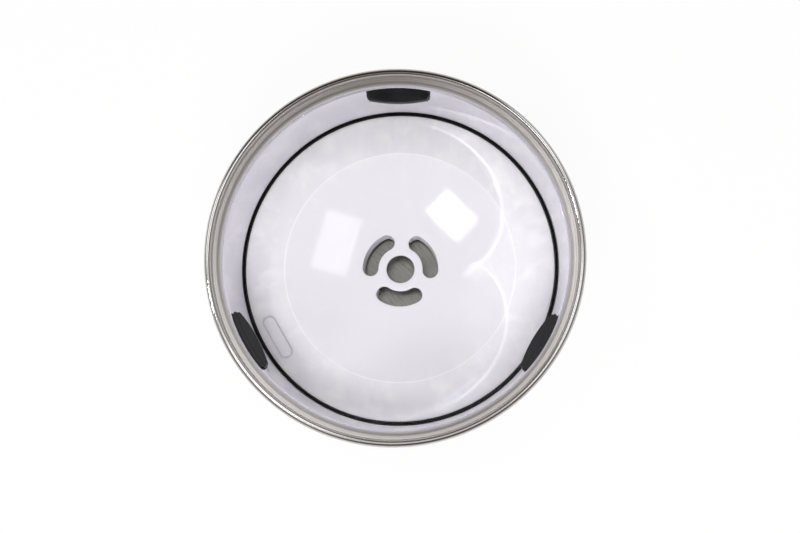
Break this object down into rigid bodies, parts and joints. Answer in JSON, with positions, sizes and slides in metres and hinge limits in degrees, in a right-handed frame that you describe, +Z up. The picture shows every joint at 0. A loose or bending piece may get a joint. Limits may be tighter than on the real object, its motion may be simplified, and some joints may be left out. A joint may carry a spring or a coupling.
{
  "type": "no spill dog water bowl",
  "caption": "Round drawn steel pet bowl with a floating plastic disc that lets a little water up through its holes and is held in by rubber stops on the wall.",
  "frame": {"origin": "on the ground under the middle of the bowl, at the lower face of the base ring", "axes": "+Z up through the middle of the bowl; +Y towards the back stop, which is at the top of the picture; +X to the right"},
  "size_m": [0.23, 0.23, 0.068],
  "materials": {
    "bowl_steel": "stainless steel, polished on the inside of the wall and the rim, brushed in rings on the floor",
    "white_plastic": "glossy white moulded plastic",
    "black_rubber": "satin black rubber"
  },
  "bodies": {
    "bowl": {"bowl_shell": "bowl_steel", "base_ring": "black_rubber", "stop_back": "black_rubber", "stop_left": "black_rubber", "stop_right": "black_rubber"},
    "disc": {"float_disc": "white_plastic", "disc_edging": "black_rubber"}
  },
  "joints": [
    {"name": "disc_float", "type": "slide", "parent": "bowl", "child": "disc", "axis": [0, 0, 1], "range_m": [0, 0.029]}
  ]
}
